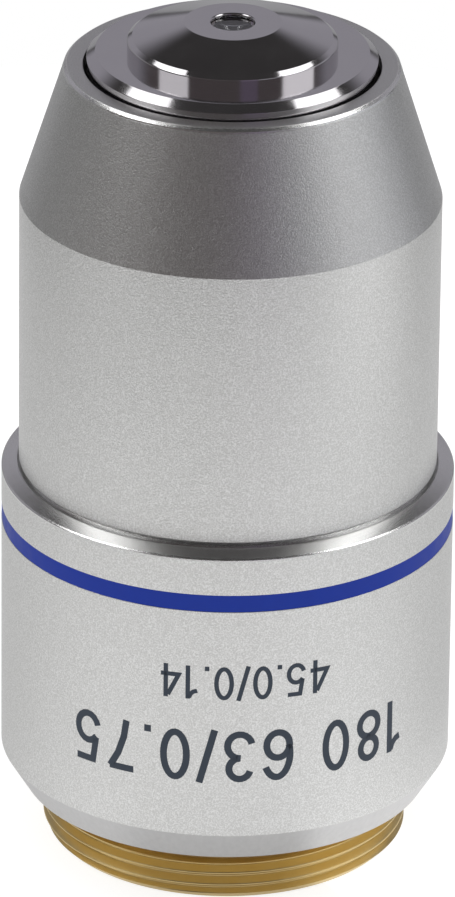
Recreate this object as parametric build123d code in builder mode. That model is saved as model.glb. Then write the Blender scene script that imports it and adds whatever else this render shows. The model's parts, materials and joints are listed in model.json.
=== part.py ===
from build123d import *
import os
from math import copysign, sqrt

os.makedirs("parts", exist_ok=True)

# A spring-loaded high-power microscope objective, standing on its mount thread with its nose up.
# Millimetres. Z is the optical axis, z = 0 is the end face of the thread, and the object side is up.

# Mount thread: 0.8 inch, 36 threads to the inch, drawn as the cylinder of its crests
thread_d = 20.27
thread_depth = 0.45
thread_length = 3.3
thread_end_chamfer = 0.35
thread_relief_width = 1.0
thread_relief_extra = 0.05

# Mount tube: the brass core that carries the thread outside and guides the barrel inside
tube_step = 0.365
tube_wall = 1.2
flange_width = 0.5
flange_thickness = 1.7
rear_bore_wall = 1.05
rear_bore_depth = 2.6

# Lower sleeve: the satin tube with the colour band
lower_sleeve_wall = 1.95
lower_sleeve_length = 19.0
lower_sleeve_lip = 0.28
lower_chamfer_height = 1.9
shoulder_drop = 0.38
shoulder_flat = 0.22
shoulder_edge_break = 0.08
band_width = 1.0
band_depth = 0.3
band_below_top = 2.5

# Upper sleeve: the satin cover with the cone, screwed to the top of the mount tube
cover_screw_wall = 1.0
cover_wall = 1.35
cover_screw_length = 3.6
cover_straight_length = 15.66
cover_foot_gap = 0.12
cover_foot_step = 0.3
cover_top_room = 0.3
cone_length = 7.67
rim_width = 1.02
rim_bevel = 0.16
front_bore_length = 3.2

# Rings that stop the barrel, and the guide screw that keeps it from turning
stop_ring_thickness = 1.6
stop_lock_thickness = 1.0
stop_ring_bore_gap = 0.5
spanner_slot_width = 1.2
spanner_slot_depth = 0.6
guide_screw_d = 2.0
guide_dog_d = 1.5
guide_dog_length = 0.85
guide_screw_below_flange_top = 3.7
driver_slot_width = 0.3
driver_slot_depth = 0.35

# Spring round the tail of the barrel; its round wire is drawn with flats
wire_d = 0.9
wire_side_count = 8
spring_length = 9.8
spring_active_turns = 4
spring_outer_gap = 0.5
spring_inner_gap = 0.5

# Barrel: the sliding tube that holds every lens; its top is the polished disc
travel = 2.0
barrel_wall = 1.0
barrel_flange_length = 5.0
barrel_tail_overhang = 1.5
nose_step = 0.51
nose_lift = 0.75
nose_collar_length = 3.6
nose_bevel_width = 0.48
nose_bevel_height = 0.37
web_wall = 1.0
web_thickness = 0.43

# Front cell: the polished conical nose that holds the front lens; a share is of the radius around it
cell_share = 0.7231
cell_wall_height = 0.65
cell_bevel_width = 0.28
cell_bevel_height = 0.2
cell_cone_height = 0.85
cell_shank_step = 0.5
cell_shank_length = 4.4
tip_width = 1.46
tip_lip = 0.2
front_hole_d = 2.38

# Fits, radial unless they say otherwise
running_gap = 0.04
nose_gap = 0.17
sleeve_gap = 0.05
screw_gap = 0.03
glass_gap = 0.02
rest_gap = 0.02
slot_gap = 0.06

# Front lens and the meniscus behind it; a sag is how far a ground face bulges, plus up and minus down
front_lens_seat = 0.16
front_lens_rim = 0.45
front_lens_sag = -0.8
meniscus_share = 0.5736
meniscus_rim = 1.3
meniscus_upper_sag = -0.8
meniscus_lower_sag = -1.4
meniscus_seat = 0.4
retainer_thickness = 0.8

# Three cemented doublets: the wall of the cell, then three sags and two rim thicknesses from the top
first_doublet = dict(wall=1.76, sags=(0.8, -1.9, -0.6), rims=(0.5, 2.5))
second_doublet = dict(wall=1.36, sags=(0.65, 2.0, -0.8), rims=(2.6, 0.6))
rear_doublet = dict(wall=2.16, sags=(1.2, -0.75, 1.95), rims=(0.85, 3.7))
lens_seat = 0.5
seat_lip = 0.7
cell_margin = 0.3
front_spacer_length = 2.6
rear_spacer_length = 6.4
spacer_wall = 0.9
aperture_thickness = 0.6
aperture_width = 2.88
barrel_lock_thickness = 1.6
glare_stop_thickness = 1.4
glare_stop_width = 3.105

# Radii, worked outward and inward from the thread
thread_r = thread_d / 2
tube_r = thread_r + tube_step
flange_r = tube_r + flange_width
guide_r = tube_r - tube_wall
rear_bore_r = thread_r - thread_depth - rear_bore_wall
lower_sleeve_r = tube_r + sleeve_gap + lower_sleeve_wall
lower_sleeve_end_r = flange_r + sleeve_gap + lower_sleeve_lip
cover_r = tube_r + screw_gap + cover_screw_wall
spring_r = guide_r - spring_outer_gap - wire_d / 2
barrel_r = spring_r - wire_d / 2 - spring_inner_gap
barrel_bore_r = barrel_r - barrel_wall
train_r = barrel_bore_r - glass_gap
nose_r = barrel_r + nose_step
front_bore_r = nose_r + nose_gap
rim_r = front_bore_r + rim_width
front_cell_r = nose_r * cell_share
shank_r = front_cell_r - cell_shank_step
tip_r = front_hole_d / 2 + tip_width
front_lens_r = front_hole_d / 2 + front_lens_seat
meniscus_r = shank_r * meniscus_share

# Heights, worked upward from the end of the thread
flange_top = thread_length + flange_thickness
sleeve_top = thread_length + lower_sleeve_length
cover_foot = sleeve_top + cover_foot_gap
tube_top = cover_foot + cover_screw_length
cone_base = cover_foot + cover_straight_length
rim_top = cone_base + cone_length
nose_top = rim_top + nose_lift
cell_wall_top = nose_top + cell_wall_height
cell_cone_foot = cell_wall_top + cell_bevel_height
tip_top = cell_cone_foot + cell_cone_height
stop_ring_bottom = tube_top - stop_lock_thickness - stop_ring_thickness
barrel_flange_top = stop_ring_bottom - rest_gap
barrel_flange_bottom = barrel_flange_top - barrel_flange_length
screw_z = barrel_flange_top - guide_screw_below_flange_top
spring_seat = barrel_flange_bottom - spring_length


def finish(part, name):
    """Label a finished piece and write it to its own file."""
    part.label = name
    export_step(part, f"parts/{name}.step")


def face_height(rim, sag, rim_r, r):
    """Height of a ground face at distance r from the axis, from the height of its rim and its sag."""
    if sag == 0:
        return rim
    curve_r = (rim_r**2 + sag**2) / (2 * abs(sag))
    drop = curve_r - sqrt(curve_r**2 - r**2)
    return rim + sag - copysign(drop, sag)


def lens(name, r, upper_rim, upper_sag, lower_rim, lower_sag):
    """One ground lens of radius r, from the heights of its two rims and the sags of its two faces."""
    with BuildPart() as glass:
        with BuildSketch(Plane.XZ):
            with BuildLine():
                faces = []
                for rim, sag in ((upper_rim, upper_sag), (lower_rim, lower_sag)):
                    middle = (0, rim + sag)
                    if sag == 0:
                        faces.append(Line(middle, (r, rim)))
                    else:
                        halfway = (r / 2, face_height(rim, sag, r, r / 2))
                        faces.append(ThreePointArc(middle, halfway, (r, rim)))
                Line(faces[0] @ 1, faces[1] @ 1)
                Line(faces[0] @ 0, faces[1] @ 0)
            make_face()
        revolve(axis=Axis.Z)
    finish(glass.part, name)


def ring(name, bottom, top, outer_r, inner_r, slots_in=None):
    """A plain turned ring; a threaded one has spanner slots in its "top" or "bottom" face."""
    with BuildPart() as hoop:
        with BuildSketch(Plane.XY.offset(bottom)):
            Circle(outer_r)
            Circle(inner_r, mode=Mode.SUBTRACT)
        extrude(amount=top - bottom)
        if slots_in:
            into = spanner_slot_depth if slots_in == "bottom" else -spanner_slot_depth
            with BuildSketch(Plane.XY.offset(bottom if slots_in == "bottom" else top)):
                Rectangle(2 * outer_r, spanner_slot_width)
            extrude(amount=into, mode=Mode.SUBTRACT)
    finish(hoop.part, name)


def doublet_in_cell(name, top, sizes):
    """A cemented pair in its turned cell, hung from `top`; gives the height of the cell's lower end."""
    r = train_r - sizes["wall"] - glass_gap
    upper_sag, joint_sag, lower_sag = sizes["sags"]
    seat = top - seat_lip
    seat_r = r - lens_seat
    touching_r = seat_r if upper_sag > 0 else r
    upper_rim = seat - rest_gap - face_height(0, upper_sag, r, touching_r)
    joint_rim = upper_rim - sizes["rims"][0]
    lower_rim = joint_rim - sizes["rims"][1]
    bottom = lower_rim + min(0, lower_sag) - cell_margin
    lens(f"{name}_upper_lens", r, upper_rim, upper_sag, joint_rim, joint_sag)
    lens(f"{name}_lower_lens", r, joint_rim, joint_sag, lower_rim, lower_sag)
    with BuildPart() as cell:
        with BuildSketch(Plane.XY.offset(bottom)):
            Circle(train_r)
            Circle(r + glass_gap, mode=Mode.SUBTRACT)
        extrude(amount=seat - bottom)
        with BuildSketch(Plane.XY.offset(seat)):
            Circle(train_r)
            Circle(seat_r, mode=Mode.SUBTRACT)
        extrude(amount=seat_lip)
    finish(cell.part, f"{name}_cell")
    return bottom


# Mount tube, with the hole of the guide screw through its wall at the back
tail_hole_r = barrel_r + spring_inner_gap - running_gap
relief_r = thread_r - thread_depth - thread_relief_extra
with BuildPart() as mount_tube:
    with BuildSketch(Plane.XZ):
        with BuildLine():
            Polyline(
                (rear_bore_r, 0),
                (thread_r - thread_end_chamfer, 0),
                (thread_r, thread_end_chamfer),
                (thread_r, thread_length - thread_relief_width),
                (relief_r, thread_length - thread_relief_width),
                (relief_r, thread_length),
                (flange_r, thread_length),
                (flange_r, flange_top),
                (tube_r, flange_top),
                (tube_r, tube_top),
                (guide_r, tube_top),
                (guide_r, spring_seat),
                (tail_hole_r, spring_seat),
                (tail_hole_r, rear_bore_depth),
                (rear_bore_r, rear_bore_depth),
                close=True,
            )
        make_face()
    revolve(axis=Axis.Z)
    with BuildSketch(Plane.XZ.offset(-guide_r + tube_wall)):
        with Locations((0, screw_z)):
            Circle(guide_screw_d / 2 + screw_gap)
    extrude(amount=-3 * tube_wall, mode=Mode.SUBTRACT)
finish(mount_tube.part, "mount_tube")

# Lower sleeve, with the groove of its colour band
band_top = sleeve_top - band_below_top
band_bottom = band_top - band_width
shoulder_r = cover_r - cover_foot_step + shoulder_flat
with BuildPart() as lower_sleeve:
    with BuildSketch(Plane.XZ):
        with BuildLine():
            Polyline(
                (flange_r + sleeve_gap, thread_length),
                (lower_sleeve_end_r, thread_length),
                (lower_sleeve_r, thread_length + lower_chamfer_height),
                (lower_sleeve_r, band_bottom),
                (lower_sleeve_r - band_depth, band_bottom),
                (lower_sleeve_r - band_depth, band_top),
                (lower_sleeve_r, band_top),
                (lower_sleeve_r, sleeve_top - shoulder_drop - shoulder_edge_break),
                (lower_sleeve_r - shoulder_edge_break, sleeve_top - shoulder_drop),
                (shoulder_r, sleeve_top),
                (tube_r + sleeve_gap, sleeve_top),
                (tube_r + sleeve_gap, flange_top),
                (flange_r + sleeve_gap, flange_top),
                close=True,
            )
        make_face()
    revolve(axis=Axis.Z)
finish(lower_sleeve.part, "lower_sleeve")

ring("colour_band", band_bottom, band_top, lower_sleeve_r, lower_sleeve_r - band_depth)

# Upper sleeve: a shell whose inside follows the cone, closed down to the bore of the nose
cone_slope = (cover_r - rim_r) / cone_length
front_bore_bottom = rim_top - front_bore_length
inner_cone_top_r = rim_r + cone_slope * front_bore_length - cover_wall
with BuildPart() as upper_sleeve:
    with BuildSketch(Plane.XZ):
        with BuildLine():
            Polyline(
                (tube_r + screw_gap, sleeve_top),
                (cover_r - cover_foot_step, sleeve_top),
                (cover_r - cover_foot_step, cover_foot),
                (cover_r, cover_foot),
                (cover_r, cone_base),
                (rim_r + cone_slope * rim_bevel, rim_top - rim_bevel),
                (rim_r - rim_bevel, rim_top),
                (front_bore_r, rim_top),
                (front_bore_r, front_bore_bottom),
                (inner_cone_top_r, front_bore_bottom),
                (cover_r - cover_wall, cone_base),
                (cover_r - cover_wall, tube_top + cover_top_room),
                (tube_r + screw_gap, tube_top + cover_top_room),
                close=True,
            )
        make_face()
    revolve(axis=Axis.Z)
finish(upper_sleeve.part, "upper_sleeve")

# Rings that hold the barrel in, and the stop against stray light at the rear
stop_outer_r = guide_r - screw_gap
stop_bore_r = barrel_r + stop_ring_bore_gap
stop_ring_top = tube_top - stop_lock_thickness
ring("barrel_stop_ring", stop_ring_bottom, stop_ring_top, stop_outer_r, stop_bore_r, slots_in="top")
ring("stop_lock_ring", stop_ring_top, tube_top, stop_outer_r, stop_bore_r, slots_in="top")
glare_stop_bottom = rear_bore_depth - glare_stop_thickness
glare_stop_r = rear_bore_r - screw_gap
glare_hole_r = glare_stop_r - glare_stop_width
ring("rear_glare_stop", glare_stop_bottom, rear_bore_depth, glare_stop_r, glare_hole_r, slots_in="bottom")

# Guide screw: its dog runs in the slot of the barrel's flange
with BuildPart() as guide_screw:
    with BuildSketch(Plane.XZ.offset(-guide_r)):
        with Locations((0, screw_z)):
            Circle(guide_screw_d / 2)
    extrude(amount=-(tube_wall - sleeve_gap))
    with BuildSketch(Plane.XZ.offset(-guide_r)):
        with Locations((0, screw_z)):
            Circle(guide_dog_d / 2)
    extrude(amount=guide_dog_length)
    with BuildSketch(Plane.XZ.offset(-tube_r + sleeve_gap)):
        with Locations((0, screw_z)):
            Rectangle(guide_screw_d, driver_slot_width)
    extrude(amount=driver_slot_depth, mode=Mode.SUBTRACT)
finish(guide_screw.part, "guide_screw")

# Spring: its end turns are closed and ground flat
spring_bottom = spring_seat + rest_gap
spring_top = barrel_flange_bottom - rest_gap
closed_height = wire_d
active_height = spring_top - spring_bottom - 2 * closed_height
with BuildPart() as nose_spring:
    with BuildLine() as coil_path:
        lower_turn = Helix(closed_height, closed_height, spring_r, center=(0, 0, spring_bottom))
        active_turns = Helix(active_height / spring_active_turns, active_height, spring_r,
                             center=(0, 0, spring_bottom + closed_height))
        upper_turn = Helix(closed_height, closed_height, spring_r, center=(0, 0, spring_top - closed_height))
    with BuildSketch(Plane(origin=lower_turn @ 0, z_dir=lower_turn % 0)):
        RegularPolygon(wire_d / 2, wire_side_count)
    sweep(is_frenet=True)
    with BuildSketch(Plane.XY.offset(spring_bottom)):
        Circle(guide_r)
    extrude(amount=spring_top - spring_bottom, mode=Mode.INTERSECT)
finish(nose_spring.part, "nose_spring")

# Front cell and what it holds
front_lens_top = tip_top - tip_lip - rest_gap
front_lens_foot = front_lens_top - front_lens_rim
shank_bottom = nose_top - cell_shank_length
retainer_top = shank_bottom + retainer_thickness
retainer_r = meniscus_r - meniscus_seat
meniscus_foot = retainer_top + rest_gap - face_height(0, meniscus_lower_sag, meniscus_r, retainer_r)
meniscus_top = meniscus_foot + meniscus_rim
meniscus_seat_z = meniscus_top + rest_gap
with BuildPart() as front_cell:
    with BuildSketch(Plane.XZ):
        with BuildLine():
            Polyline(
                (shank_r, shank_bottom),
                (shank_r, nose_top),
                (front_cell_r, nose_top),
                (front_cell_r, cell_wall_top),
                (front_cell_r - cell_bevel_width, cell_cone_foot),
                (tip_r, tip_top),
                (front_hole_d / 2, tip_top),
                (front_hole_d / 2, tip_top - tip_lip),
                (front_lens_r + glass_gap, tip_top - tip_lip),
                (front_lens_r + glass_gap, front_lens_foot),
                (retainer_r, meniscus_seat_z),
                (meniscus_r + glass_gap, meniscus_seat_z),
                (meniscus_r + glass_gap, shank_bottom),
                close=True,
            )
        make_face()
    revolve(axis=Axis.Z)
finish(front_cell.part, "front_cell")

lens("front_lens", front_lens_r, front_lens_top, 0, front_lens_foot, front_lens_sag)
lens("meniscus_lens", meniscus_r, meniscus_top, meniscus_upper_sag, meniscus_foot, meniscus_lower_sag)
ring("meniscus_retainer", shank_bottom, retainer_top, meniscus_r - rest_gap, retainer_r, slots_in="bottom")

# Lens train in the barrel, from the web downward
web_bottom = min(shank_bottom - rest_gap, meniscus_foot + meniscus_lower_sag) - web_thickness
first_cell_bottom = doublet_in_cell("first_doublet", web_bottom, first_doublet)
front_spacer_bottom = first_cell_bottom - front_spacer_length
second_cell_bottom = doublet_in_cell("second_doublet", front_spacer_bottom, second_doublet)
aperture_bottom = second_cell_bottom - aperture_thickness
rear_spacer_bottom = aperture_bottom - rear_spacer_length
rear_cell_bottom = doublet_in_cell("rear_doublet", rear_spacer_bottom, rear_doublet)
barrel_lock_bottom = rear_cell_bottom - barrel_lock_thickness
barrel_bottom = barrel_lock_bottom - barrel_tail_overhang
spacer_r = train_r - spacer_wall
ring("front_spacer", front_spacer_bottom, first_cell_bottom, train_r, spacer_r)
ring("aperture_stop", aperture_bottom, second_cell_bottom, train_r, train_r - aperture_width)
ring("rear_spacer", rear_spacer_bottom, aperture_bottom, train_r, spacer_r)
ring("barrel_lock_ring", barrel_lock_bottom, rear_cell_bottom, train_r, spacer_r, slots_in="bottom")

# Barrel, with the guide slot in its flange
slot_length = travel + guide_dog_d + 4 * slot_gap
with BuildPart() as lens_barrel:
    with BuildSketch(Plane.XZ):
        with BuildLine():
            Polyline(
                (barrel_bore_r, barrel_bottom),
                (barrel_r, barrel_bottom),
                (barrel_r, barrel_flange_bottom),
                (guide_r - running_gap, barrel_flange_bottom),
                (guide_r - running_gap, barrel_flange_top),
                (barrel_r, barrel_flange_top),
                (barrel_r, nose_top - nose_collar_length),
                (nose_r, nose_top - nose_collar_length),
                (nose_r, nose_top - nose_bevel_height),
                (nose_r - nose_bevel_width, nose_top),
                (shank_r + screw_gap, nose_top),
                (shank_r + screw_gap, shank_bottom - rest_gap),
                (shank_r - web_wall, shank_bottom - rest_gap),
                (shank_r - web_wall, web_bottom),
                (barrel_bore_r, web_bottom),
                close=True,
            )
        make_face()
    revolve(axis=Axis.Z)
    with BuildSketch(Plane.XZ.offset(-guide_r)):
        with Locations((0, screw_z + travel / 2)):
            SlotOverall(slot_length, guide_dog_d + 2 * slot_gap, rotation=90)
    extrude(amount=guide_dog_length + slot_gap, mode=Mode.SUBTRACT)
finish(lens_barrel.part, "lens_barrel")

print("radii: thread, sleeve, cover, rim, nose")
print([round(r, 3) for r in (thread_r, lower_sleeve_r, cover_r, rim_r, nose_r)])
print("heights: sleeve, cone base, rim, nose, tip, spring seat, barrel end")
print([round(z, 3) for z in (sleeve_top, cone_base, rim_top, nose_top, tip_top, spring_seat, barrel_bottom)])
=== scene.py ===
# %% [markdown]
# A microscope objective, dressed for its portrait.
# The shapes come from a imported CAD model, which stands on its mount thread with the nose up. CAD knows
# the sizes, but it has sharp edges, a plain cylinder for a thread and no finish at all. This lesson makes
# fine meshes for the turned pieces that are seen, gives every piece a procedural finish, and lights them
# as a small product.

import json
from math import atan2, copysign, cos, degrees, pi, radians, sin, tan

import bmesh
import bpy
from mathutils import Matrix, Vector


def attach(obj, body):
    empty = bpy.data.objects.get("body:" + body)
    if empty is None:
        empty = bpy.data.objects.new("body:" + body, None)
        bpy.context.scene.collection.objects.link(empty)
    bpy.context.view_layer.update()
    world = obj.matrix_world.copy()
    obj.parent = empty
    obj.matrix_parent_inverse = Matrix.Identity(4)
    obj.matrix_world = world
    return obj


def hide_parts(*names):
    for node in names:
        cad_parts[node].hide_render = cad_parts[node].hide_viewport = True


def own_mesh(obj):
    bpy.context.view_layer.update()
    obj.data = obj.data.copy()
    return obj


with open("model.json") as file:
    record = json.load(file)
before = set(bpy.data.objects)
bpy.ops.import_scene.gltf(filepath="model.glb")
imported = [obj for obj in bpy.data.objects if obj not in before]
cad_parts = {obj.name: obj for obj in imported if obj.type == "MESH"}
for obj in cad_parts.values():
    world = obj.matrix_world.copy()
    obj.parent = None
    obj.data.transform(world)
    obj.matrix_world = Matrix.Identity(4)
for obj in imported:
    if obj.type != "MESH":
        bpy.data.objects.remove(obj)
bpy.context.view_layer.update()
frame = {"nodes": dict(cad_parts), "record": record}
MM = 0.001

# %% [markdown]
# The camera comes first, because every later choice is judged through it. The photograph was taken from
# about 25 degrees above, with a long lens half a metre away: the ellipses of the sleeve's edges open only
# slightly from top to foot. The distance and the focal length were solved from those ellipses. A Blender
# camera's sensor is 36 mm on the picture's long side, here its height of 897 pixels, so the focal length
# in pixels turns into millimetres.

# %% Camera
PICTURE_HEIGHT = 897
FOCAL_PIXELS = 9280
CAMERA_DISTANCE = 511.7 * MM
CAMERA_RISE = radians(24.957)
CAMERA_ROLL = 0.0116
AXIS_SIDE_STEP = 0.4349
target = Vector((0, 0, 22.78 * MM))

camera_data = bpy.data.cameras.new("portrait_camera")
camera_data.sensor_width = 36
camera_data.lens = FOCAL_PIXELS / PICTURE_HEIGHT * camera_data.sensor_width
camera_data.clip_start = 0.01
camera_data.clip_end = 20
camera = bpy.data.objects.new("portrait_camera", camera_data)
bpy.context.scene.collection.objects.link(camera)
back = Vector((0, -cos(CAMERA_RISE), sin(CAMERA_RISE)))
side_step = -AXIS_SIDE_STEP * CAMERA_DISTANCE / FOCAL_PIXELS
aim = back.to_track_quat("Z", "Y").to_matrix().to_4x4() @ Matrix.Rotation(CAMERA_ROLL, 4, "Z")
camera.matrix_world = Matrix.Translation(target + back * CAMERA_DISTANCE + Vector((side_step, 0, 0))) @ aim
bpy.context.scene.camera = camera
print("lens", round(camera_data.lens, 1), "mm")

# %% [markdown]
# Every finish below is a node tree, and written out node by node such trees are long and hard to read.
# Two small classes help. A Signal wraps the socket that a number comes from, so that plain signs such as
# + and * add the Math nodes. A Plan adds any other node in one call: its type, its settings, then the
# values or links of its sockets. The same two classes serve shaders, the world and Geometry Nodes.

# %% Signals and plans
class Signal:
    """A number inside a node tree; arithmetic on it adds Math nodes."""

    def __init__(self, tree, socket):
        self.tree = tree
        self.socket = socket

    def math(self, operation, *others):
        """A Math node that takes this number first, then the others."""
        node = self.tree.nodes.new("ShaderNodeMath")
        node.operation = operation
        for socket, value in zip(node.inputs, (self, *others)):
            feed(self.tree, socket, value)
        return Signal(self.tree, node.outputs[0])

    def __add__(self, other):
        return self.math("ADD", other)

    __radd__ = __add__

    def __sub__(self, other):
        return self.math("SUBTRACT", other)

    def __rsub__(self, other):
        return self.math("MULTIPLY_ADD", -1.0, other)

    def __mul__(self, other):
        return self.math("MULTIPLY", other)

    __rmul__ = __mul__

    def __truediv__(self, other):
        return self.math("DIVIDE", other)

    def at_most(self, other):
        return self.math("MINIMUM", other)

    def at_least(self, other):
        return self.math("MAXIMUM", other)


def feed(tree, socket, value):
    """Link a Signal or a socket into a socket, or set a plain value on it."""
    if isinstance(value, Signal):
        value = value.socket
    if isinstance(value, bpy.types.NodeSocket):
        tree.links.new(value, socket)
    else:
        socket.default_value = value


class Plan:
    """A node tree being drawn."""

    def __init__(self, tree):
        self.tree = tree

    def node(self, kind, settings=None, inputs=None):
        made = self.tree.nodes.new(kind)
        for key, value in (settings or {}).items():
            setattr(made, key, value)
        for key, value in (inputs or {}).items():
            feed(self.tree, made.inputs[key], value)
        return made

    def number(self, kind, settings=None, inputs=None, output=0):
        return Signal(self.tree, self.node(kind, settings, inputs).outputs[output])

    def parts(self, vector):
        """The three numbers of a vector."""
        split = self.node("ShaderNodeSeparateXYZ", {}, {"Vector": vector})
        return [Signal(self.tree, output) for output in split.outputs]

    def vector(self, x, y, z):
        """A vector from three numbers."""
        return self.node("ShaderNodeCombineXYZ", {}, {"X": x, "Y": y, "Z": z}).outputs[0]

    def rays(self):
        """1 where the ray that asks comes from the camera, from a mirror, or through glass."""
        path = self.node("ShaderNodeLightPath")
        kinds = ("Is Camera Ray", "Is Glossy Ray", "Is Transmission Ray")
        return [Signal(self.tree, path.outputs[kind]) for kind in kinds]

    def span(self, value, low, high, to_low=0.0, to_high=1.0):
        """A soft step: `value` from low to high becomes to_low to to_high."""
        return self.number("ShaderNodeMapRange", {"interpolation_type": "SMOOTHSTEP"}, {
            "Value": value, "From Min": low, "From Max": high, "To Min": to_low, "To Max": to_high,
        }, output="Result")

    def blend(self, amount, first, second):
        """A colour between two colours."""
        mixed = self.node("ShaderNodeMix", {"data_type": "RGBA"})
        for slot, value in ((0, amount), (6, first), (7, second)):
            feed(self.tree, mixed.inputs[slot], (*value, 1.0) if isinstance(value, tuple) else value)
        return mixed.outputs[2]


print("plan and signal ready")

# %% [markdown]
# The light. In the photograph the satin sleeves are bright although nothing bright stands in front of
# them: their upright walls, seen from above, mirror the white table. The polished nose is almost black
# with white windows, because it is high enough to see past the table's edge into a dark room. Its bevels
# mirror two soft boxes, high at the sides, and its flats mirror a grey wall behind. Two narrower strips
# light the sleeve's shoulder. So the scene needs a white table of the right size, whose glow is painted
# darker near the foot and behind the piece as painted shadow and shade, and brighter right of the foot and
# far out as painted light, the four lamps, and a world that answers each kind of ray in its own way: a dim
# room with cards and windows for mirrors, a pale grey for diffuse light, and white for the camera.

# %% Soft boxes
NOSE = Vector((0, 0, 47 * MM))
LAMP_DISTANCE = 320 * MM


def soft_box(name, azimuth, elevation, half_width, half_height, radiance):
    """A lamp that faces the nose; angles in degrees, azimuth 0 is the camera's side, plus is its right."""
    width = 2 * LAMP_DISTANCE * tan(radians(half_width))
    height = 2 * LAMP_DISTANCE * tan(radians(half_height))
    data = bpy.data.lights.new(name, "AREA")
    data.shape = "RECTANGLE"
    data.size = width
    data.size_y = height
    data.energy = radiance * pi * width * height
    lamp = bpy.data.objects.new(name, data)
    turn, rise = radians(azimuth), radians(elevation)
    away = Vector((sin(turn) * cos(rise), -cos(turn) * cos(rise), sin(rise)))
    facing = away.to_track_quat("Z", "Y").to_matrix().to_4x4()
    lamp.matrix_world = Matrix.Translation(NOSE + away * LAMP_DISTANCE) @ facing
    lamp.visible_camera = False
    bpy.context.scene.collection.objects.link(lamp)
    print(name, round(width, 3), "m wide")


soft_box("left_soft_box", -109, 55, 17, 10, 2.0)
soft_box("right_soft_box", 110, 54, 17, 10.5, 2.1)
soft_box("left_strip", -82, 43, 15, 7, 4.0)
soft_box("right_strip", 82, 43, 15, 7, 4.2)

# %% World
world = bpy.data.worlds.new("studio")
bpy.context.scene.world = world
world.use_nodes = True
world.node_tree.nodes.clear()
room = Plan(world.node_tree)
from_camera, from_mirror, through_glass = room.rays()
heading = room.node("ShaderNodeTexCoord").outputs["Generated"]
east, north, up = room.parts(heading)
azimuth = east.math("ARCTAN2", 0 - north) * degrees(1)
elevation = up.math("ARCSINE") * degrees(1)
away = azimuth.math("ABSOLUTE")
slope = elevation.math("ABSOLUTE")


def between(value, low, high, soft=2.0):
    """1 where an angle lies between low and high, with soft edges."""
    return room.span(value, low - soft, low + soft) * (1 - room.span(value, high - soft, high + soft))


in_front = between(elevation, -6, 30, 6) * (1 - room.span(away, 100, 125))
wall_behind = room.span(away, 95, 130) * room.span(elevation, 1, 9) * (1 - room.span(elevation, 24, 40))
lilac_card = between(azimuth, 9, 28) * (1 - room.span(elevation, 30, 36))
right_card = between(azimuth, 22, 124, 12) * between(elevation, -7, 12, 5)
left_card = between(azimuth, -150, -86, 6) * between(elevation, -10, 8, 5)
left_window = between(azimuth, -87, -49) * between(slope, 19, 30)
right_window = between(azimuth, 57, 100) * between(slope, 13, 30)
backdrop = room.span(away, 132, 138) * (1 - room.span(elevation, 0, 3))

dark_room = (0.045, 0.043, 0.043)
for patch, tone in (
    (in_front, (0.115, 0.100, 0.100)),
    (wall_behind, (0.36, 0.35, 0.385)),
    (left_card, (0.27, 0.27, 0.27)),
    (right_card, (0.57, 0.58, 0.62)),
    (lilac_card, (0.17, 0.14, 0.19)),
    (left_window, (1.30, 1.30, 1.30)),
    (right_window, (1.50, 1.50, 1.50)),
    (backdrop, (0.36, 0.36, 0.37)),
):
    dark_room = room.blend(patch, dark_room, tone)
shade = room.blend(from_mirror.at_least(through_glass), (0.78, 0.78, 0.78), dark_room)
shade = room.blend(from_camera, shade, (1.0, 1.0, 1.0))
sky = room.node("ShaderNodeBackground", {}, {"Color": shade, "Strength": 1.0})
room.node("ShaderNodeOutputWorld", {}, {"Surface": sky.outputs[0]})
print("world nodes", len(world.node_tree.nodes))

# %% White table
TABLE_RADIUS = 110 * MM
TABLE_CORNERS = 96
GLOW_SHARE = 0.6
GLOW_STRENGTH = 1.45
CAMERA_GLOW = 0.9

table_mesh = bpy.data.meshes.new("table")
corner_turns = [2 * pi * i / TABLE_CORNERS for i in range(TABLE_CORNERS)]
edge = [(TABLE_RADIUS * cos(turn), TABLE_RADIUS * sin(turn), 0) for turn in corner_turns]
table_mesh.from_pydata(edge, [], [list(range(TABLE_CORNERS))])
table = bpy.data.objects.new("table", table_mesh)
bpy.context.scene.collection.objects.link(table)
table_white = bpy.data.materials.new("table_white")
table_white.use_nodes = True
table_white.node_tree.nodes.clear()
top = Plan(table_white.node_tree)
from_camera, from_mirror, through_glass = top.rays()
paper = top.node("ShaderNodeBsdfDiffuse", {}, {"Color": (0.86, 0.86, 0.86, 1)})
place = top.node("ShaderNodeTexCoord").outputs["Object"]
to_middle = top.number("ShaderNodeVectorMath", {"operation": "LENGTH"}, {0: place}, output="Value")
to_right, to_back = [part / to_middle for part in top.parts(place)[:2]]

# %% How the table's glow is painted: painted shadow near the foot, painted shade behind, painted light right and far out
# Painted light and shade on the table: darker near the foot as a painted shadow, brighter far out as painted
# light, darker behind the piece as painted shade.
near_foot = 1 - top.span(to_middle, 14 * MM, 26 * MM)
glow_painted_light_and_shade = top.span(to_middle, 9 * MM, 26 * MM, 0.63, 0.89) * top.span(to_middle, 50 * MM, 100 * MM, 0.87, 1.12)
glow_painted_light_and_shade = glow_painted_light_and_shade * top.span(to_back, -0.8, 0.8, 1.0, 0.50)
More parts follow.
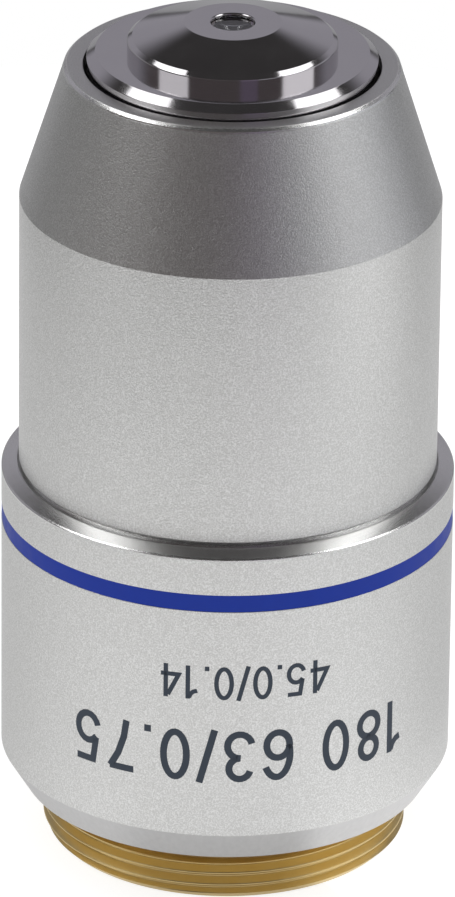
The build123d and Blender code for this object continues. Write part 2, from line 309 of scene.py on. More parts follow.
# Painted pool of light: near the foot the glow is painted brighter to the right, and a little to the left,
# for the brass to mirror.
glow_painted_light_and_shade = glow_painted_light_and_shade * (1 + near_foot * (top.span(to_right, 0.4, 0.7) * 1.1 + top.span(to_right, -0.4, -0.7) * 0.3))
glow_painted_light_and_shade = (from_camera * CAMERA_GLOW).at_least(glow_painted_light_and_shade)
glowing = top.node("ShaderNodeEmission", {}, {
    "Color": top.blend(glow_painted_light_and_shade, (0, 0, 0), (1, 1, 1)), "Strength": GLOW_STRENGTH})
seen = from_camera.at_least(from_mirror).at_least(through_glass)
lit = top.node("ShaderNodeMixShader", {}, {
    0: seen * GLOW_SHARE, 1: paper.outputs[0], 2: glowing.outputs[0]})
nothing = top.node("ShaderNodeBsdfTransparent")
under = top.node("ShaderNodeNewGeometry").outputs["Backfacing"]
sheet = top.node("ShaderNodeMixShader", {}, {0: under, 1: lit.outputs[0], 2: nothing.outputs[0]})
top.node("ShaderNodeOutputMaterial", {}, {"Surface": sheet.outputs[0]})
table_mesh.materials.append(table_white)
print("table", round(2 * TABLE_RADIUS / MM), "mm across")

# %% [markdown]
# Finishes. Each starts from the same shader and reads Object coordinates, which here are metres in the
# shared frame, so a noise scale of 9000 gives grains of about a tenth of a millimetre. What the real
# surfaces show decides the nodes: bead blasting leaves a fine grain that sparkles, turning leaves rings
# round the axis, and enamel and ink are smooth with a little unevenness.

# %% Parts that finishes share
def new_finish(name, **constants):
    """A material with an empty plan, its main shader, and the point that is being shaded."""
    material = bpy.data.materials.new(name)
    material.use_nodes = True
    material.node_tree.nodes.clear()
    plan = Plan(material.node_tree)
    shader = plan.node("ShaderNodeBsdfPrincipled", {}, constants)
    plan.node("ShaderNodeOutputMaterial", {}, {"Surface": shader.outputs[0]})
    point = plan.node("ShaderNodeTexCoord").outputs["Object"]
    return material, plan, shader, point


def noise(plan, point, scale, detail=2.0, roughness=0.5):
    return plan.number("ShaderNodeTexNoise", {}, {
        "Vector": point, "Scale": scale, "Detail": detail, "Roughness": roughness}, output="Fac")


def turning_point(plan, point, round_the_axis=0.0):
    """Coordinates that are the same all round the axis, so a noise on them draws the rings a lathe leaves."""
    x, y, z = plan.parts(point)
    radius = (x * x + y * y).math("SQRT")
    return plan.vector(radius + x * round_the_axis, z, y * round_the_axis)


def bump(plan, shader, height, strength, depth):
    """Feed the shader's normal from a height; depth is in metres."""
    raised = plan.node("ShaderNodeBump", {}, {"Strength": strength, "Distance": depth, "Height": height})
    feed(plan.tree, shader.inputs["Normal"], raised.outputs[0])


print("shared parts ready")

# %% Satin chrome
STREAK_SQUEEZE = 0.08


def satin_chrome(name, highlight_band_from, highlight_band_to, machined_below=None):
    """Blasted and plated; heights in mm: between two an edge is rubbed smoother and painted brighter as a
    painted highlight, below a third are streaks.
    """
    material, plan, shader, point = new_finish(name, Metallic=1.0)
    x, y, z = plan.parts(point)
    grain = noise(plan, point, 12000, 2.0, 0.6)
    fleck = noise(plan, point, 5200, 2.0, 0.5)
    sparkle = plan.span(grain, 0.40, 0.66)
    # Painted highlight: between the first two heights the colour is painted brighter, and the roughness is
    # lower, as on a rubbed edge.
    rubbed_and_painted_highlight = plan.span(z, (highlight_band_from - 0.05) * MM, (highlight_band_from + 0.05) * MM)
    rubbed_and_painted_highlight = rubbed_and_painted_highlight * plan.span(z, (highlight_band_to - 0.04) * MM, (highlight_band_to + 0.02) * MM, 1.0, 0.4)
    colour = plan.blend(sparkle, (0.59, 0.59, 0.58), (0.76, 0.76, 0.755))
    colour = plan.blend(rubbed_and_painted_highlight, colour, (0.74, 0.74, 0.735))
    rough = plan.span(fleck, 0.3, 0.7, 0.36, 0.42) * (1 - rubbed_and_painted_highlight * 0.4)
    relief = (grain + fleck * 0.25) * (1 - rubbed_and_painted_highlight * 0.6)
    if machined_below is not None:
        streak = noise(plan, plan.vector(x, y, z * STREAK_SQUEEZE), 3600, 3.0, 0.6)
        machined = 1 - plan.span(z, (machined_below - 0.06) * MM, (machined_below + 0.02) * MM)
        dull = plan.blend(streak, (0.50, 0.50, 0.505), (0.60, 0.60, 0.605))
        colour = plan.blend(machined, colour, dull)
        relief = relief * (1 - machined) + streak * machined * 0.5
    feed(plan.tree, shader.inputs["Base Color"], colour)
    feed(plan.tree, shader.inputs["Roughness"], rough)
    bump(plan, shader, relief, 0.6, 0.00003)
    return material


# %% Polished chrome
def polished_chrome():
    material, plan, shader, point = new_finish("polished_chrome", Metallic=1.0)
    rings = noise(plan, turning_point(plan, point), 16000, 2.0, 0.6)
    haze = noise(plan, point, 500, 3.0, 0.6)
    colour = plan.blend(haze, (0.55, 0.535, 0.555), (0.60, 0.585, 0.60))
    feed(plan.tree, shader.inputs["Base Color"], colour)
    feed(plan.tree, shader.inputs["Roughness"], plan.span(haze, 0.3, 0.7, 0.07, 0.12))
    bump(plan, shader, rings, 0.05, 0.00001)
    return material


# %% Turned brass
def turned_brass():
    material, plan, shader, point = new_finish("turned_brass", Metallic=1.0)
    rings = noise(plan, turning_point(plan, point, 0.02), 14000, 3.0, 0.6)
    stain = noise(plan, point, 700, 4.0, 0.6)
    colour = plan.blend(stain, (0.62, 0.465, 0.205), (0.76, 0.61, 0.31))
    feed(plan.tree, shader.inputs["Base Color"], colour)
    feed(plan.tree, shader.inputs["Roughness"], plan.span(stain, 0.3, 0.7, 0.34, 0.44))
    bump(plan, shader, rings, 0.12, 0.00001)
    return material


# %% Blue enamel
def blue_enamel():
    material, plan, shader, point = new_finish("blue_enamel", **{"IOR": 1.5, "Specular IOR Level": 0.2})
    cloud = noise(plan, point, 1200, 3.0, 0.6)
    colour = plan.blend(cloud, (0.005, 0.026, 0.265), (0.008, 0.034, 0.310))
    feed(plan.tree, shader.inputs["Base Color"], colour)
    feed(plan.tree, shader.inputs["Roughness"], plan.span(cloud, 0.3, 0.7, 0.42, 0.52))
    bump(plan, shader, cloud, 0.08, 0.00001)
    return material


# %% Printing ink
def printing_ink():
    material, plan, shader, point = new_finish("printing_ink", IOR=1.45)
    speckle = noise(plan, point, 6000, 3.0, 0.7)
    colour = plan.blend(speckle, (0.020, 0.030, 0.046), (0.032, 0.046, 0.070))
    feed(plan.tree, shader.inputs["Base Color"], colour)
    feed(plan.tree, shader.inputs["Roughness"], plan.span(speckle, 0.3, 0.7, 0.45, 0.6))
    bump(plan, shader, speckle, 0.1, 0.00001)
    return material


# %% Matt black, steel and glass
def matt_black():
    material, plan, shader, point = new_finish("matt_black", IOR=1.45)
    rings = noise(plan, turning_point(plan, point), 9000, 2.0, 0.6)
    colour = plan.blend(rings, (0.012, 0.012, 0.012), (0.030, 0.030, 0.030))
    feed(plan.tree, shader.inputs["Base Color"], colour)
    feed(plan.tree, shader.inputs["Roughness"], plan.span(rings, 0.3, 0.7, 0.5, 0.7))
    bump(plan, shader, rings, 0.3, 0.00002)
    return material


def drawn_steel():
    material, plan, shader, point = new_finish("drawn_steel", Metallic=1.0)
    streak = noise(plan, point, 5000, 3.0, 0.6)
    colour = plan.blend(streak, (0.42, 0.42, 0.42), (0.56, 0.56, 0.55))
    feed(plan.tree, shader.inputs["Base Color"], colour)
    feed(plan.tree, shader.inputs["Roughness"], plan.span(streak, 0.3, 0.7, 0.22, 0.34))
    bump(plan, shader, streak, 0.08, 0.00001)
    return material


def coated_glass():
    material, plan, shader, point = new_finish("coated_glass", **{
        "Transmission Weight": 1.0, "IOR": 1.62, "Coat Weight": 0.0})
    haze = noise(plan, point, 400, 2.0, 0.5)
    colour = plan.blend(haze, (0.93, 0.95, 0.97), (0.97, 0.97, 0.99))
    feed(plan.tree, shader.inputs["Base Color"], colour)
    feed(plan.tree, shader.inputs["Roughness"], plan.span(haze, 0.3, 0.7, 0.0, 0.01))
    return material


# %% One finish for each slot of the record
COVER_RIM = 45.75
FINISHES = {
    "brass": turned_brass(),
    # The cover's rim edge gets a painted highlight: a brighter colour and a smoother finish.
    "satin_chrome": satin_chrome("satin_chrome", COVER_RIM - 0.25, COVER_RIM - 0.03),
    "polished_chrome": polished_chrome(),
    "blue_enamel": blue_enamel(),
    "steel": drawn_steel(),
    "matt_black": matt_black(),
    "optical_glass": coated_glass(),
}
ink = printing_ink()
print("finishes", sorted(FINISHES))

# %% [markdown]
# Turned pieces. A lathe part is a profile spun round its axis. Blender could do it with a Screw modifier
# on a curve, but then each edge would need its own care. Here the profile is a list of corners in
# millimetres, each with the radius that the tool or the blasting left on it. A rounded corner gets a
# short arc and a holding point on both sides, so that the smooth shading bends only at the edge and the
# flat faces stay flat.

# %% Round the corners of a profile
LONGEST_REACH = 0.45


def rounded(corners, closed=True, steps=4, hold=0.02):
    """The corners (r, z, radius) in mm become points (r, z), with an arc where the radius isn't 0."""
    points = []
    for i, (r, z, radius) in enumerate(corners):
        here = Vector((r, z))
        is_end = not closed and i in (0, len(corners) - 1)
        if radius == 0 or is_end:
            points.append(here)
            continue
        to_last = Vector(corners[i - 1][:2]) - here
        to_next = Vector(corners[(i + 1) % len(corners)][:2]) - here
        half = to_last.angle(to_next) / 2
        reach = min(radius / tan(half), LONGEST_REACH * to_last.length, LONGEST_REACH * to_next.length)
        first, last = to_last.normalized(), to_next.normalized()
        centre = here + (first + last).normalized() * (reach / cos(half))
        start, end = here + first * reach - centre, here + last * reach - centre
        sweep = atan2(start.x * end.y - start.y * end.x, start.dot(end))
        points.append(here + first * (reach + hold))
        for k in range(steps + 1):
            points.append(centre + Matrix.Rotation(sweep * k / steps, 2) @ start)
        points.append(here + last * (reach + hold))
    return [(p.x, p.y) for p in points]


# %% Spin a profile
COLUMNS = 256


def spun_mesh(name, points, closed=True):
    """A mesh of the profile turned round Z, in metres; points on the axis are merged into a pole."""
    mesh = bpy.data.meshes.new(name)
    turns = [2 * pi * c / COLUMNS for c in range(COLUMNS)]
    places = [(r * MM * cos(turn), r * MM * sin(turn), z * MM) for turn in turns for r, z in points]
    count = len(points)
    faces = []
    for c in range(COLUMNS):
        here, there = c * count, (c + 1) % COLUMNS * count
        for k in range(count if closed else count - 1):
            n = (k + 1) % count
            faces.append((here + k, there + k, there + n, here + n))
    mesh.from_pydata(places, [], faces)
    return mesh


def tidy_mesh(mesh, crease=radians(24)):
    """Merge doubles, point the faces outwards, and shade smoothly except over real creases."""
    shell = bmesh.new()
    shell.from_mesh(mesh)
    bmesh.ops.remove_doubles(shell, verts=shell.verts, dist=2e-7)
    bmesh.ops.dissolve_degenerate(shell, edges=shell.edges, dist=1e-8)
    bmesh.ops.recalc_face_normals(shell, faces=shell.faces)
    open_edges = sum(1 for edge in shell.edges if len(edge.link_faces) != 2)
    shell.to_mesh(mesh)
    shell.free()
    mesh.shade_smooth()
    mesh.set_sharp_from_angle(angle=crease)
    return open_edges


def cut(mesh, cutter):
    """The mesh with the cutter's volume taken away; both are closed."""
    tidy_mesh(mesh)
    tidy_mesh(cutter)
    whole, tool = [bpy.data.objects.new(each.name, each) for each in (mesh, cutter)]
    bpy.context.scene.collection.objects.link(whole)
    bpy.context.scene.collection.objects.link(tool)
    taken = whole.modifiers.new("cut", "BOOLEAN")
    taken.operation = "DIFFERENCE"
    taken.solver = "EXACT"
    taken.object = tool
    bpy.context.view_layer.update()
    result = bpy.data.meshes.new_from_object(whole.evaluated_get(bpy.context.evaluated_depsgraph_get()))
    for spare in (whole, tool):
        bpy.data.objects.remove(spare)
    return result


def rear_peg(name, width, length, z, near, far, steps=16):
    """A peg with round ends that lies along Y at the back, from near to far; all in mm."""
    mesh = bpy.data.meshes.new(name)
    radius, straight = width / 2, (length - width) / 2
    outline = []
    for k in range(2 * steps):
        turn = pi * (k + 0.5) / steps
        outline.append((radius * cos(turn), z + radius * sin(turn) + copysign(straight, sin(turn))))
    places = [(x * MM, y * MM, up * MM) for y in (near, far) for x, up in outline]
    count = len(outline)
    sides = [(k, (k + 1) % count, count + (k + 1) % count, count + k) for k in range(count)]
    mesh.from_pydata(places, [], [*sides, tuple(range(count)), tuple(range(2 * count - 1, count - 1, -1))])
    return mesh


def place_piece(name, mesh, material, body, nodes):
    """Put a finished mesh in the scene, on its body, in the place of its CAD nodes."""
    open_edges = tidy_mesh(mesh)
    mesh.materials.clear()
    mesh.materials.append(material)
    piece = bpy.data.objects.new(name, mesh)
    bpy.context.scene.collection.objects.link(piece)
    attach(piece, body)
    if nodes:
        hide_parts(*nodes)
    mesh.calc_loop_triangles()
    print(name, "triangles", len(mesh.loop_triangles), "open edges", open_edges)
    return piece


def turned(name, corners, body, slot, nodes):
    """A closed turned piece from its corners."""
    return place_piece(name, spun_mesh(name, rounded(corners)), FINISHES[slot], body, nodes)


# %% [markdown]
# The lower sleeve is a satin tube with a chamfered foot, a groove for the colour band, and a sloping
# shoulder at its top. The blasting has softened every edge a little, and the thin line of light that the
# photograph shows along the shoulder's outer edge is its small edge break, helped by a painted highlight.

# %% Lower sleeve
SLEEVE_R, SLEEVE_BORE, SLEEVE_SEAT = 12.49, 10.55, 11.05
MOUNT_FACE, SEAT_TOP, CHAMFER_TOP, SLEEVE_TOP = 3.3, 5.0, 5.2, 22.3
GROOVE_R, GROOVE_FOOT, GROOVE_TOP = 12.2, 18.8, 19.8
SHOULDER_EDGE, RECESS_FLOOR = 21.91, 22.12
# From 21.85 to 22.4 mm the shoulder gets a painted highlight, a brighter colour and a smoother finish; below
# the chamfer's top are streaks.
SLEEVE_FINISH = satin_chrome("satin_chrome_sleeve", 21.85, 22.4, CHAMFER_TOP)
sleeve_profile = rounded([
    (SLEEVE_SEAT, MOUNT_FACE, 0.05), (11.33, MOUNT_FACE, 0.04), (SLEEVE_R, CHAMFER_TOP, 0.12),
    (SLEEVE_R, GROOVE_FOOT, 0.02), (GROOVE_R, GROOVE_FOOT, 0),
    (GROOVE_R, GROOVE_TOP, 0), (SLEEVE_R, GROOVE_TOP, 0.02),
    (SLEEVE_R, SHOULDER_EDGE, 0.05), (12.41, SHOULDER_EDGE + 0.08, 0.05), (11.61, SLEEVE_TOP - 0.05, 0.05),
    (11.52, RECESS_FLOOR, 0.03), (11.24, RECESS_FLOOR, 0), (11.24, SLEEVE_TOP, 0),
    (SLEEVE_BORE, SLEEVE_TOP, 0), (SLEEVE_BORE, SEAT_TOP, 0), (SLEEVE_SEAT, SEAT_TOP, 0),
])
sleeve_mesh = spun_mesh("lower_sleeve_satin", sleeve_profile)
place_piece("lower_sleeve_satin", sleeve_mesh, SLEEVE_FINISH, "body", ["lower_sleeve"])

# %% Colour band
BAND_R = 12.475
turned("colour_band_enamel", [
    (GROOVE_R, GROOVE_FOOT, 0), (BAND_R, GROOVE_FOOT, 0.02),
    (BAND_R, GROOVE_TOP, 0.02), (GROOVE_R, GROOVE_TOP, 0),
], "body", "blue_enamel", ["colour_band"])

# %% [markdown]
# The upper sleeve is a shell: straight at the foot, then a cone, then a flat rim round the dark gap. Its
# inside is turned too, because it can be seen when the nose is pushed in.

# %% Upper sleeve
COVER_R, COVER_FOOT_R, COVER_SEAT, COVER_BORE = 11.53, 11.23, 10.53, 10.18
COVER_FOOT, CONE_FOOT, LIP_R, LIP_FOOT, COVER_SEAT_TOP = 22.46, 38.08, 8.08, 42.55, 26.32
turned("upper_sleeve_satin", [
    (COVER_SEAT, SLEEVE_TOP, 0), (COVER_FOOT_R, SLEEVE_TOP, 0), (COVER_FOOT_R, COVER_FOOT, 0),
    (COVER_R, COVER_FOOT, 0.08), (COVER_R, CONE_FOOT, 0.12),
    (9.14, COVER_RIM - 0.15, 0.08), (8.96, COVER_RIM, 0.08), (LIP_R, COVER_RIM, 0.08),
    (LIP_R, LIP_FOOT, 0), (8.79, LIP_FOOT, 0), (COVER_BORE, CONE_FOOT, 0),
    (COVER_BORE, COVER_SEAT_TOP, 0), (COVER_SEAT, COVER_SEAT_TOP, 0),
], "body", "satin_chrome", ["upper_sleeve"])

# %% [markdown]
# The nose is two polished pieces that slide together: the barrel, whose top is the wide disc in the gap,
# and the front cell with its cone. Both are turned and polished, so their edges are crisp: rounds of a
# few hundredths.

# %% Lens barrel
BARREL_R, BARREL_BORE, BARREL_FOOT = 7.4, 6.4, 13.013
FLANGE_R, FLANGE_FOOT, FLANGE_TOP = 9.26, 18.4, 23.4
HEAD_R, HEAD_FOOT, HEAD_TOP = 7.91, 42.9, 46.5
SEAT_R, SEAT_FLOOR, STEP_R, STEP_FLOOR = 5.25, 42.08, 4.22, 41.503
barrel_profile = rounded([
    (BARREL_BORE, BARREL_FOOT, 0.05), (BARREL_R, BARREL_FOOT, 0.05), (BARREL_R, FLANGE_FOOT, 0),
    (FLANGE_R, FLANGE_FOOT, 0.05), (FLANGE_R, FLANGE_TOP, 0.05), (BARREL_R, FLANGE_TOP, 0),
    (BARREL_R, HEAD_FOOT, 0), (HEAD_R, HEAD_FOOT, 0.05), (HEAD_R, HEAD_TOP - 0.37, 0.03),
    (7.43, HEAD_TOP, 0.03), (SEAT_R, HEAD_TOP, 0.03), (SEAT_R, SEAT_FLOOR, 0),
    (STEP_R, SEAT_FLOOR, 0), (STEP_R, STEP_FLOOR, 0), (BARREL_BORE, STEP_FLOOR, 0),
])
guide_slot = rear_peg("guide_slot", width=1.62, length=3.74, z=20.7, near=8.39, far=9.6)
barrel_mesh = cut(spun_mesh("barrel_blank", barrel_profile), guide_slot)
place_piece("lens_barrel_polished", barrel_mesh, FINISHES["polished_chrome"], "nose",
            ["lens_barrel"])

# %% Front cell
CELL_FOOT, TIP, CELL_R, CELL_SEAT = 42.1, 48.2, 5.72, 5.22
HOLE_R, LENS_SEAT_R, LENS_SEAT, LENS_RIM = 1.19, 1.37, 48.0, 47.53
MENISCUS_SEAT_R, MENISCUS_TOP = 3.014, 44.653
turned("front_cell_polished", [
    (CELL_SEAT, CELL_FOOT, 0), (CELL_SEAT, HEAD_TOP, 0), (CELL_R, HEAD_TOP, 0),
    (CELL_R, 47.15, 0.1), (5.44, 47.35, 0.03), (2.65, TIP, 0.04),
    (HOLE_R, TIP, 0.09), (HOLE_R, LENS_SEAT, 0.04), (LENS_SEAT_R, LENS_SEAT, 0),
    (LENS_SEAT_R, LENS_RIM, 0), (2.594, MENISCUS_TOP, 0), (MENISCUS_SEAT_R, MENISCUS_TOP, 0),
    (MENISCUS_SEAT_R, CELL_FOOT, 0.04),
], "nose", "polished_chrome", ["front_cell"])

# %% [markdown]
# The front lens is a small dome of glass, flat in front. Its rim sits in the cell and its flat face looks
# out of the hole. It is glass through and through, so light can pass to the black cells behind.

# %% Front lens
def dome(rim_z, sag, radius, steps=24):
    """Points of a ground face from its rim to the axis."""
    curve = (radius**2 + sag**2) / (2 * abs(sag))
    points = []
    for k in range(steps + 1):
        r = radius * (1 - k / steps)
        drop = curve - (curve**2 - r**2) ** 0.5
        points.append((r, rim_z + sag + (drop if sag < 0 else -drop)))
    return points


LENS_R, LENS_FACE, LENS_SAG, LENS_BREAK = 1.35, 47.98, -0.8, 0.02
flat_face = [(0.0, LENS_FACE), (LENS_R - LENS_BREAK, LENS_FACE), (LENS_R, LENS_FACE - LENS_BREAK)]
lens_profile = flat_face + dome(LENS_RIM, LENS_SAG, LENS_R)
lens_mesh = spun_mesh("front_lens_glass", lens_profile, closed=False)
place_piece("front_lens_glass", lens_mesh, FINISHES["optical_glass"], "nose", ["front_lens"])

# %% [markdown]
# The mount thread is a main piece whose shape follows a rule: a ridge that climbs one pitch for each
# turn. Cutting a screw with a boolean gives ragged ends. Geometry Nodes can lay a grid round the axis
# instead, with its rows running along the helix so that every crest is a clean line. The rows that would
# pass the ends are clamped there and merged, and the first and last row close the grid to the bore and to
# the relief groove.

# %% Tree of the mount thread
SHARP_HEIGHT, ROUNDED_OFF = 0.96, 0.16
WAVE_SHARE = 0.75


def thread_tree():
    """The ridge is part wave, part 55 degree form: sharp height and what is rounded off, in pitches."""
    tree = bpy.data.node_groups.new("mount_thread", "GeometryNodeTree")
    tree.interface.new_socket("Geometry", in_out="OUTPUT", socket_type="NodeSocketGeometry")
    sizes = ("Crest Radius", "Thread Depth", "Pitch", "Thread Length", "End Chamfer", "Bore Radius",
             "Relief Radius", "First Crest")
    counts = ("Columns", "Rows", "Rows Per Pitch")
    for name in sizes:
        tree.interface.new_socket(name, in_out="INPUT", socket_type="NodeSocketFloat")
    for name in counts:
        tree.interface.new_socket(name, in_out="INPUT", socket_type="NodeSocketInt")
    tree.interface.new_socket("Finish", in_out="INPUT", socket_type="NodeSocketMaterial")
    plan = Plan(tree)
    given = plan.node("NodeGroupInput")
    crest, depth, pitch, length, chamfer, bore, relief, first, columns, rows, per = [
        Signal(tree, given.outputs[name]) for name in (*sizes, *counts)]

    grid = plan.node("GeometryNodeMeshGrid", {}, {
        "Size X": 1.0, "Size Y": 1.0, "Vertices X": columns + 1, "Vertices Y": rows})
    across, upward, _ = plan.parts(plan.node("GeometryNodeInputPosition").outputs[0])
    turn = across + 0.5
    row = ((upward + 0.5) * (rows - 1)).math("ROUND")
    climb = ((row - 1) / per + turn - 1) * pitch
    height = climb.at_least(0.0).at_most(length)
    phase = (height - first) / pitch - turn + 0.75
    wave = 0.5 - 0.5 * (phase * (2 * pi)).math("COSINE")
    zigzag = (phase - phase.math("ROUND")).math("ABSOLUTE") * 2
    form = (zigzag * SHARP_HEIGHT - ROUNDED_OFF) / (SHARP_HEIGHT - 2 * ROUNDED_OFF)
    form = form.at_least(0.0).at_most(1.0)
    radius = (crest - depth * (wave * WAVE_SHARE + form * (1 - WAVE_SHARE))).at_most(crest - chamfer + height)
    is_bore = row.math("LESS_THAN", 0.5)
    is_relief = row.math("GREATER_THAN", rows - 1.5)
    between = (1 - is_bore) * (1 - is_relief)
    radius = radius * between + bore * is_bore + relief * is_relief
    height = height * between + length * is_relief
    angle = turn * (2 * pi)
    wound = plan.node("GeometryNodeSetPosition", {}, {
        "Geometry": grid.outputs["Mesh"],
        "Position": plan.vector(radius * angle.math("COSINE"), radius * angle.math("SINE"), height)})
    merged = plan.node("GeometryNodeMergeByDistance", {}, {"Geometry": wound.outputs[0], "Distance": 5e-7})
    real = plan.node("GeometryNodeRealizeInstances", {}, {"Geometry": merged.outputs[0]})
    finished = plan.node("GeometryNodeSetMaterial", {}, {
        "Geometry": real.outputs[0], "Material": given.outputs["Finish"]})
    plan.node("NodeGroupOutput", {}, {"Geometry": finished.outputs[0]})
    return tree


def grown(name, tree, **values):
    """The plain mesh that a Geometry Nodes tree makes from these named inputs."""
    seed = bpy.data.objects.new(name, bpy.data.meshes.new(name + "_seed"))
    bpy.context.scene.collection.objects.link(seed)
    modifier = seed.modifiers.new("grow", "NODES")
    modifier.node_group = tree
    for item in tree.interface.items_tree:
        if item.item_type == "SOCKET" and item.in_out == "INPUT" and item.name in values:
            modifier[item.identifier] = values[item.name]
    bpy.context.view_layer.update()
    evaluated = seed.evaluated_get(bpy.context.evaluated_depsgraph_get())
    mesh = bpy.data.meshes.new_from_object(evaluated)
    bpy.data.objects.remove(seed)
    return mesh


# %% Mount tube with its thread
THREADS_PER_INCH = 36
RELIEF_R, REAR_BORE, THREAD_TOP = 9.635, 8.635, 2.3
STOP_SEAT, LIGHT_PATH_R, SPRING_LEDGE, GUIDE_BORE = 2.6, 7.86, 8.6, 9.3
TUBE_R, TUBE_TOP, COLLAR_R = 10.5, 26.02, 11.0
thread_mesh = grown("thread", thread_tree(), **{
    "Crest Radius": 10.13 * MM, "Thread Depth": 0.45 * MM, "Pitch": 25.4 / THREADS_PER_INCH * MM,
    "Thread Length": THREAD_TOP * MM, "End Chamfer": 0.48 * MM, "Bore Radius": REAR_BORE * MM,
    "Relief Radius": RELIEF_R * MM, "First Crest": 0.95 * MM,
    "Columns": COLUMNS, "Rows": 72, "Rows Per Pitch": 16, "Finish": FINISHES["brass"]})
tube_mesh = spun_mesh("mount_tube_brass", rounded([
    (REAR_BORE, 0, 0), (REAR_BORE, STOP_SEAT, 0), (LIGHT_PATH_R, STOP_SEAT, 0),
    (LIGHT_PATH_R, SPRING_LEDGE, 0), (GUIDE_BORE, SPRING_LEDGE, 0), (GUIDE_BORE, TUBE_TOP, 0.05),
    (TUBE_R, TUBE_TOP, 0.05), (TUBE_R, SEAT_TOP, 0), (COLLAR_R, SEAT_TOP, 0),
    (COLLAR_R, MOUNT_FACE, 0.05), (RELIEF_R, MOUNT_FACE, 0.08), (RELIEF_R, THREAD_TOP, 0),
], closed=False), closed=False)
whole_tube = bmesh.new()
whole_tube.from_mesh(tube_mesh)
whole_tube.from_mesh(thread_mesh)
whole_tube.to_mesh(tube_mesh)
whole_tube.free()
screw_hole = rear_peg("screw_hole", width=2.06, length=2.06, z=19.7, near=8.9, far=11.0)
drilled = cut(tube_mesh, screw_hole)
place_piece("mount_tube_brass", drilled, FINISHES["brass"], "body", ["mount_tube"])

# %% [markdown]
# The figures are printed on the sleeve. They read with the thread up, so here they stand on their heads.
# Blender's own font draws a 1 as a bare bar, unlike the print on such a sleeve, so the figures are drawn
# here as strokes of one width, like a stencil pen's. Each is a few arcs and lines in a box one unit high,
# and gets its strokes as ribbons. The ribbons are cut into narrow upright strips so that they can bend,
# and are wrapped round the sleeve as a film.

# %% Shapes of the figures
PEN = 0.125


def arc(x, y, wide, tall, first, last, steps=16):
    """Points of a stretch of an ellipse; angles in degrees."""
    turns = [radians(first + (last - first) * k / steps) for k in range(steps + 1)]
    return [(x + wide * cos(turn), y + tall * sin(turn)) for turn in turns]


FIGURES = {
    "0": (0.54, [arc(0.27, 0.5, 0.2075, 0.4375, 0, 360, 32)]),
    "1": (0.40, [[(0.33, 0), (0.33, 1)], [(0.07, 0.745), (0.17, 0.775), (0.25, 0.84), (0.30, 0.96)]]),
    "3": (0.54, [arc(0.26, 0.735, 0.19, 0.2025, 165, -90), arc(0.26, 0.295, 0.2175, 0.2325, 95, -168)]),
    "4": (0.58, [[(0.36, 0.93), (0.06, 0.30), (0.56, 0.30)], [(0.42, 0), (0.42, 1)]]),
    "5": (0.54, [[(0.50, 0.9375), (0.15, 0.9375), (0.085, 0.49)],
                 arc(0.26, 0.325, 0.2175, 0.2625, 145, -165)]),
    "6": (0.54, [arc(0.28, 0.31, 0.2075, 0.2475, 0, 360, 28), arc(0.30, 0.5, 0.2375, 0.4375, 205, 32)]),
    "7": (0.54, [[(0.03, 0.9375), (0.50, 0.9375)], [(0.49, 0.95), (0.33, 0.66), (0.22, 0.33), (0.17, 0)]]),
    "8": (0.54, [arc(0.27, 0.735, 0.18, 0.2025, 0, 360, 24), arc(0.27, 0.285, 0.2075, 0.2225, 0, 360, 28)]),
    "/": (0.27, [[(0.0, -0.02), (0.27, 1.02)]]),
    ".": (0.14, [[(0.07, 0), (0.07, 0.13)]]),
    " ": (0.22, []),
}
print("figures", "".join(FIGURES))


# %% Ribbons along the strokes
def ribbon(film, path, right):
    """Add one stroke to a flat bmesh as quads, its line shifted to the right."""
    points = [Vector(p) for p in path]
    closed = (points[0] - points[-1]).length < 1e-6
    if closed:
        points.pop()
    count = len(points)
    sides = []
    for k, point in enumerate(points):
        last = points[k - 1] if closed or k else point
        ahead = points[(k + 1) % count] if closed or k < count - 1 else point
        before, after = point - last, ahead - point
        if before.length == 0:
            before = after
        if after.length == 0:
            after = before
        along = (before.normalized() + after.normalized()).normalized()
        reach = PEN / 2 / max(0.5, along.dot(after.normalized()))
        out = Vector((-along.y, along.x)) * reach
        sides.append([film.verts.new((v.x + right, v.y, 0)) for v in (point + out, point - out)])
    for k in range(count if closed else count - 1):
        here, there = sides[k], sides[(k + 1) % count]
        film.faces.new((here[0], here[1], there[1], there[0]))


# %% Print on the sleeve
INK_R, INK_FOOT_R = 12.498, 12.47
STRIPS_PER_CAP = 16


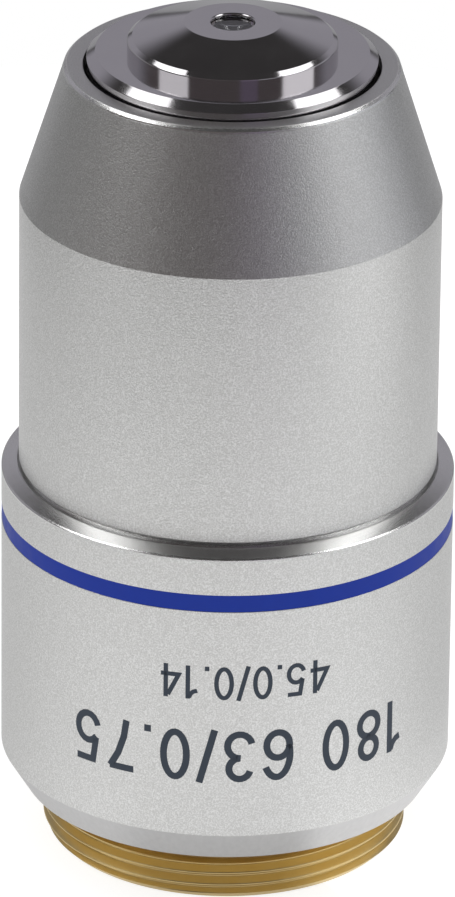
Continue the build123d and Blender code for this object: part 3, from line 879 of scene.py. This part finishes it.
def printed(name, words, cap, start_angle, baseline, tracking):
    """A line of figures round the sleeve, upside down; the angle counts from the camera's side."""
    film = bmesh.new()
    right = 0.0
    for sign in words:
        wide, strokes = FIGURES[sign]
        for path in strokes:
            ribbon(film, path, right)
        right += wide + tracking
    cuts = int(right * STRIPS_PER_CAP)
    for k in range(1, cuts):
        bmesh.ops.bisect_plane(film, geom=film.verts[:] + film.edges[:] + film.faces[:], dist=1e-6,
                               plane_co=(right * k / cuts, 0, 0), plane_no=(1, 0, 0))
    copied = bmesh.ops.extrude_face_region(film, geom=film.faces[:])
    raised = {item for item in copied["geom"] if isinstance(item, bmesh.types.BMVert)}
    for vert in film.verts:
        angle = radians(start_angle) - vert.co.x * cap / INK_R - pi / 2
        radius = (INK_R if vert in raised else INK_FOOT_R) * MM
        vert.co = (radius * cos(angle), radius * sin(angle), (baseline - vert.co.y * cap) * MM)
    mesh = bpy.data.meshes.new(name)
    film.to_mesh(mesh)
    film.free()
    return place_piece(name, mesh, ink, "body", [])


printed("large_figures", "180 63/0.75", 3.1, 51.1, 11.6, 0.165)
printed("small_figures", "45.0/0.14", 2.0, 26.9, 15.5, 0.125)

# %% [markdown]
# The spring sits between a ledge of the mount tube and the barrel's flange, so it gets shorter as the
# nose slides in. A rigid piece can't do that: it would stand still and the flange would pass through its
# coils. A CAD node may not be changed, so a merged copy of its mesh takes its place.

# %% Nose spring
spring_mesh = frame["nodes"]["nose_spring"].data.copy()
nose_spring = place_piece("nose_spring_steel", spring_mesh, FINISHES["steel"], "body",
                          ["nose_spring"])
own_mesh(nose_spring)

# %% [markdown]
# What is left are the pieces inside: rings, cells, lenses and the guide screw. Their CAD meshes are fine
# enough as they are, so they only get the finish that the record names for their slot.

# %% Finish the inner pieces
slots = {part["node"]: part["material_slot"] for part in frame["record"]["subparts"]}
dressed = 0
for name, node in frame["nodes"].items():
    if node.hide_render:
        continue
    node.data.materials.clear()
    node.data.materials.append(FINISHES[slots[name]])
    dressed += 1
print("inner pieces dressed", dressed)

# %% Picture settings
bpy.context.scene.view_settings.view_transform = "Standard"
